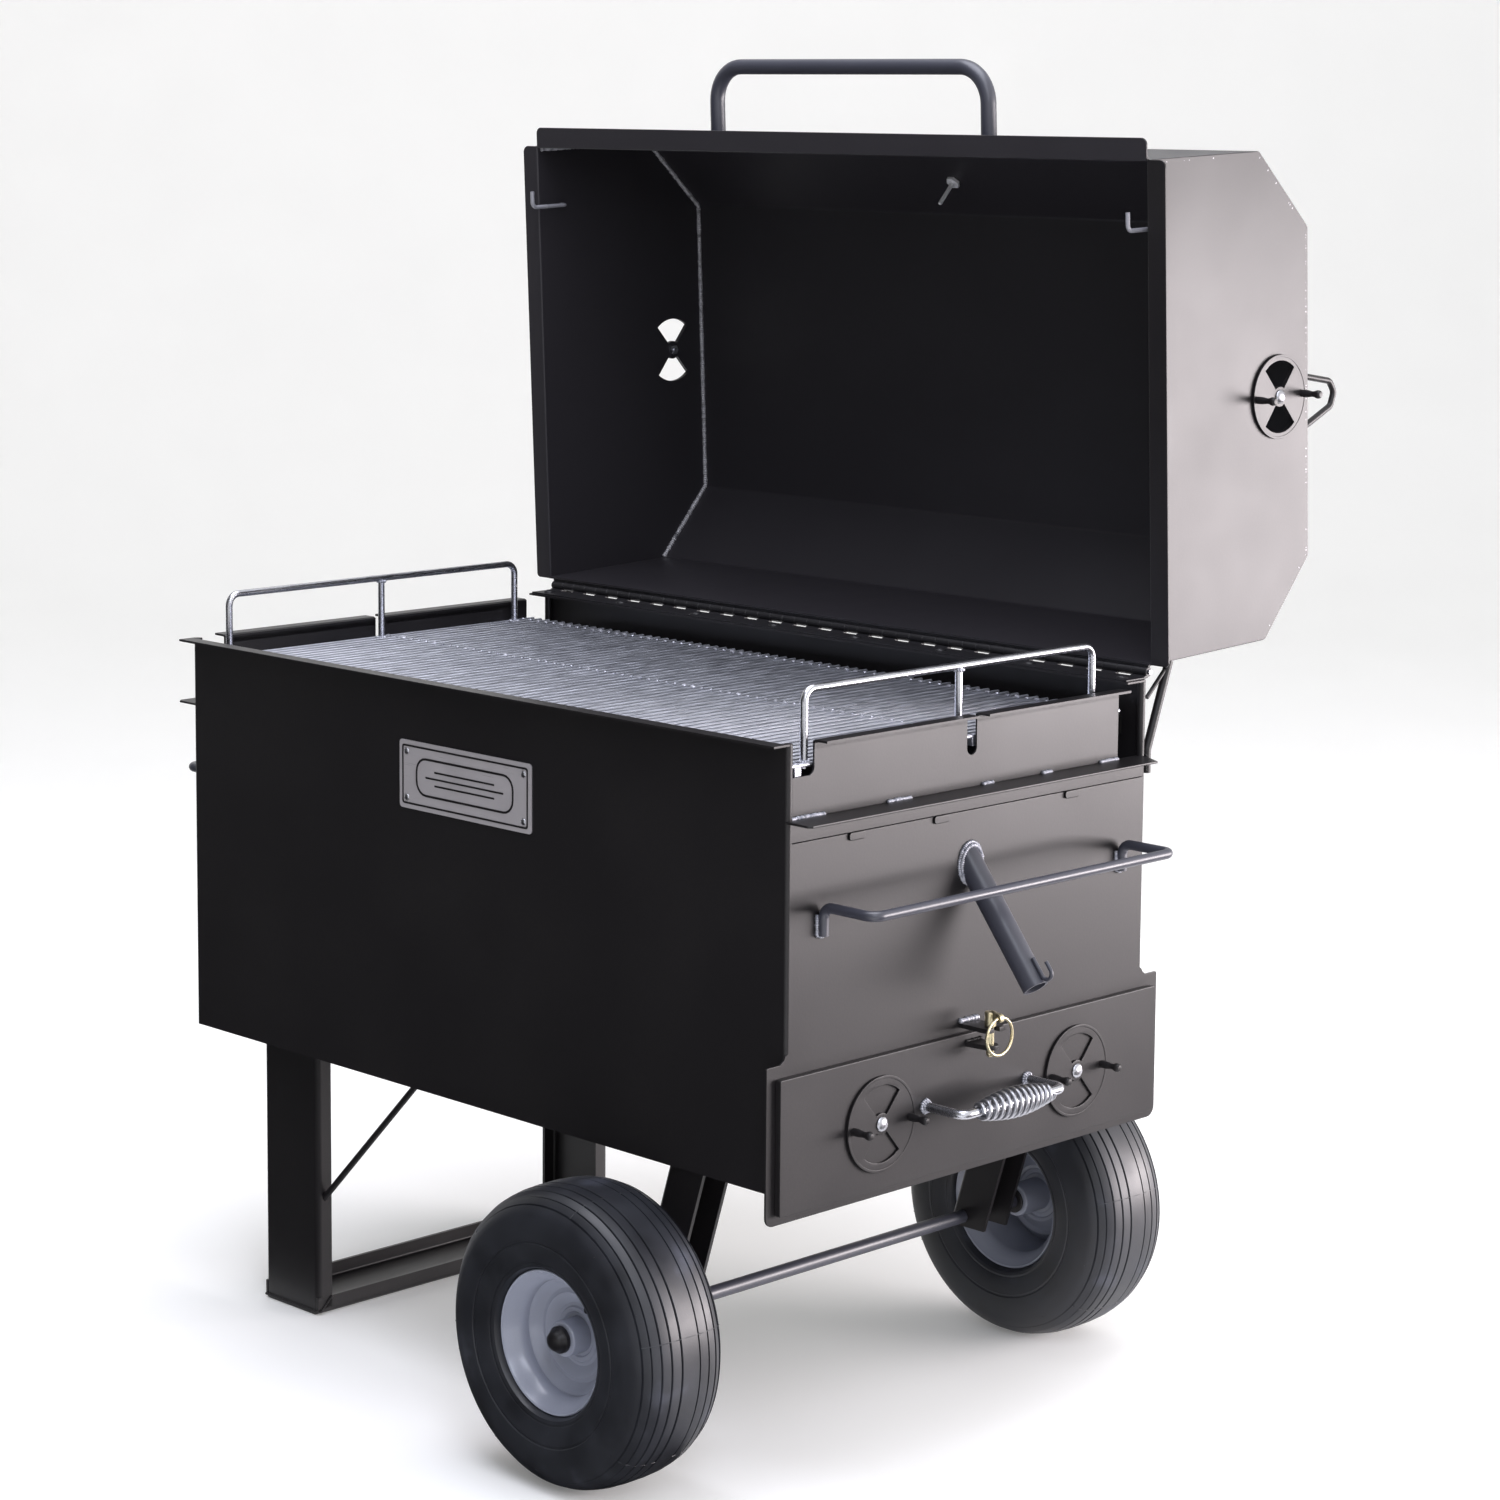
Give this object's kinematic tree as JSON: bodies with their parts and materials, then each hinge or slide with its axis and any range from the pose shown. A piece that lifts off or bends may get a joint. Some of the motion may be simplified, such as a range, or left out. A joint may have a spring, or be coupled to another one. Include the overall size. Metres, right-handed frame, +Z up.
{
  "type": "charcoal barbecue pit",
  "caption": "Wheeled charcoal barbecue pit: hinged lid held open, rod grate with side rails, slide-out charcoal drawer with air vents, pull handles, grease drain, stand and tyres.",
  "frame": {"origin": "centre of the overall box, on the ground", "axes": "+X towards the charcoal drawer end, +Y from the badge side towards the lid hinge, +Z up"},
  "size_m": [1.4192, 1.2496, 1.7749],
  "materials": {
    "satin_black_paint": "satin high-temperature black paint",
    "heat_darkened_steel": "matt, heat-darkened paint",
    "hinge_steel": "satin black paint worn at the knuckles",
    "zinc_plated_steel": "bright zinc plate",
    "stainless_steel": "bright drawn stainless rod",
    "brushed_aluminium": "brushed along its length",
    "yellow_zinc_plate": "yellow passivated zinc",
    "tyre_rubber": "ribbed, slightly dusty",
    "grey_paint": "semi-gloss grey paint",
    "clear_glass": "clear"
  },
  "bodies": {
    "pit": {"front_panel": "satin_black_paint", "back_panel": "satin_black_paint", "floor_panel": "satin_black_paint", "end_panel_right": "satin_black_paint", "end_panel_left": "satin_black_paint", "lip_right": "satin_black_paint", "lip_left": "satin_black_paint", "upper_end_right": "satin_black_paint", "upper_end_left": "satin_black_paint", "grate_ledges": "heat_darkened_steel", "drawer_runners": "heat_darkened_steel", "stand_leg_front": "satin_black_paint", "stand_leg_rear": "satin_black_paint", "stand_beam": "satin_black_paint", "stand_braces": "satin_black_paint", "axle_support_front": "satin_black_paint", "axle_support_rear": "satin_black_paint", "axle": "satin_black_paint", "axle_collars": "hinge_steel", "pull_handle_right": "satin_black_paint", "pull_handle_left": "satin_black_paint", "drain_pipe": "satin_black_paint", "hinge_lower": "hinge_steel", "hinge_pin": "hinge_steel", "hinge_bolts": "zinc_plated_steel", "lid_stops": "satin_black_paint", "badge_plate": "brushed_aluminium", "latch_ear_fixed": "satin_black_paint"},
    "lid": {"lid_wrap": "satin_black_paint", "lid_end_right": "satin_black_paint", "lid_end_left": "satin_black_paint", "hinge_upper": "hinge_steel", "lid_handle": "satin_black_paint", "lid_hooks": "satin_black_paint", "lid_loops": "satin_black_paint", "thermo_case": "zinc_plated_steel", "thermo_glass": "clear_glass", "thermo_stem": "zinc_plated_steel", "lid_vent_bolts": "zinc_plated_steel"},
    "damper_lid_right": {"lid_vent_right": "satin_black_paint"},
    "damper_lid_left": {"lid_vent_left": "satin_black_paint"},
    "drawer": {"drawer_face": "satin_black_paint", "drawer_pan": "heat_darkened_steel", "charcoal_grate": "heat_darkened_steel", "drawer_handle": "zinc_plated_steel", "drawer_grip": "zinc_plated_steel", "latch_ear_drawer": "satin_black_paint", "drawer_vent_bolts": "zinc_plated_steel"},
    "damper_drawer_front": {"drawer_vent_front": "satin_black_paint"},
    "damper_drawer_rear": {"drawer_vent_rear": "satin_black_paint"},
    "pin": {"latch_pin": "yellow_zinc_plate"},
    "ring": {"pin_ring": "yellow_zinc_plate"},
    "grate": {"cooking_grate": "stainless_steel", "grate_rails": "stainless_steel"},
    "wheel_front": {"tyre_front": "tyre_rubber", "rim_front": "grey_paint", "wheel_disc_front": "grey_paint"},
    "wheel_rear": {"tyre_rear": "tyre_rubber", "rim_rear": "grey_paint", "wheel_disc_rear": "grey_paint"}
  },
  "joints": [
    {"name": "lid_hinge", "type": "hinge", "parent": "pit", "child": "lid", "pos_m": [-0.0216, 0.22028, 0.972], "axis": [1, 0, 0], "range_deg": [0, 88.5]},
    {"name": "lid_vent_right_turn", "type": "hinge", "parent": "lid", "child": "damper_lid_right", "pos_m": [0.57539, 0.47519, 1.32345], "axis": [1, 0, 0], "range_deg": [0, 90]},
    {"name": "lid_vent_left_turn", "type": "hinge", "parent": "lid", "child": "damper_lid_left", "pos_m": [-0.6186, 0.47519, 1.32345], "axis": [1, 0, 0], "range_deg": [0, 90]},
    {"name": "drawer_slide", "type": "slide", "parent": "pit", "child": "drawer", "axis": [1, 0, 0], "range_m": [0, 0.7]},
    {"name": "drawer_vent_front_turn", "type": "hinge", "parent": "drawer", "child": "damper_drawer_front", "pos_m": [0.58149, -0.30332, 0.4645], "axis": [1, 0, 0], "range_deg": [0, 90]},
    {"name": "drawer_vent_rear_turn", "type": "hinge", "parent": "drawer", "child": "damper_drawer_rear", "pos_m": [0.58149, 0.06768, 0.4645], "axis": [1, 0, 0], "range_deg": [0, 90]},
    {"name": "latch_pin_lift", "type": "slide", "parent": "drawer", "child": "pin", "axis": [0, 0, 1], "range_m": [0, 0.06]},
    {"name": "pin_ring_swing", "type": "hinge", "parent": "pin", "child": "ring", "pos_m": [0.6234, -0.13232, 0.5765], "axis": [0, -1, 0], "range_deg": [0, 95]},
    {"name": "grate_lift", "type": "slide", "parent": "pit", "child": "grate", "axis": [0, 0, 1], "range_m": [0, 0.11]},
    {"name": "wheel_front_spin", "type": "hinge", "parent": "pit", "child": "wheel_front", "pos_m": [0.31189, -0.54882, 0.1905], "axis": [0, 1, 0], "continuous": true},
    {"name": "wheel_rear_spin", "type": "hinge", "parent": "pit", "child": "wheel_rear", "pos_m": [0.31189, 0.30118, 0.1905], "axis": [0, 1, 0], "continuous": true}
  ]
}
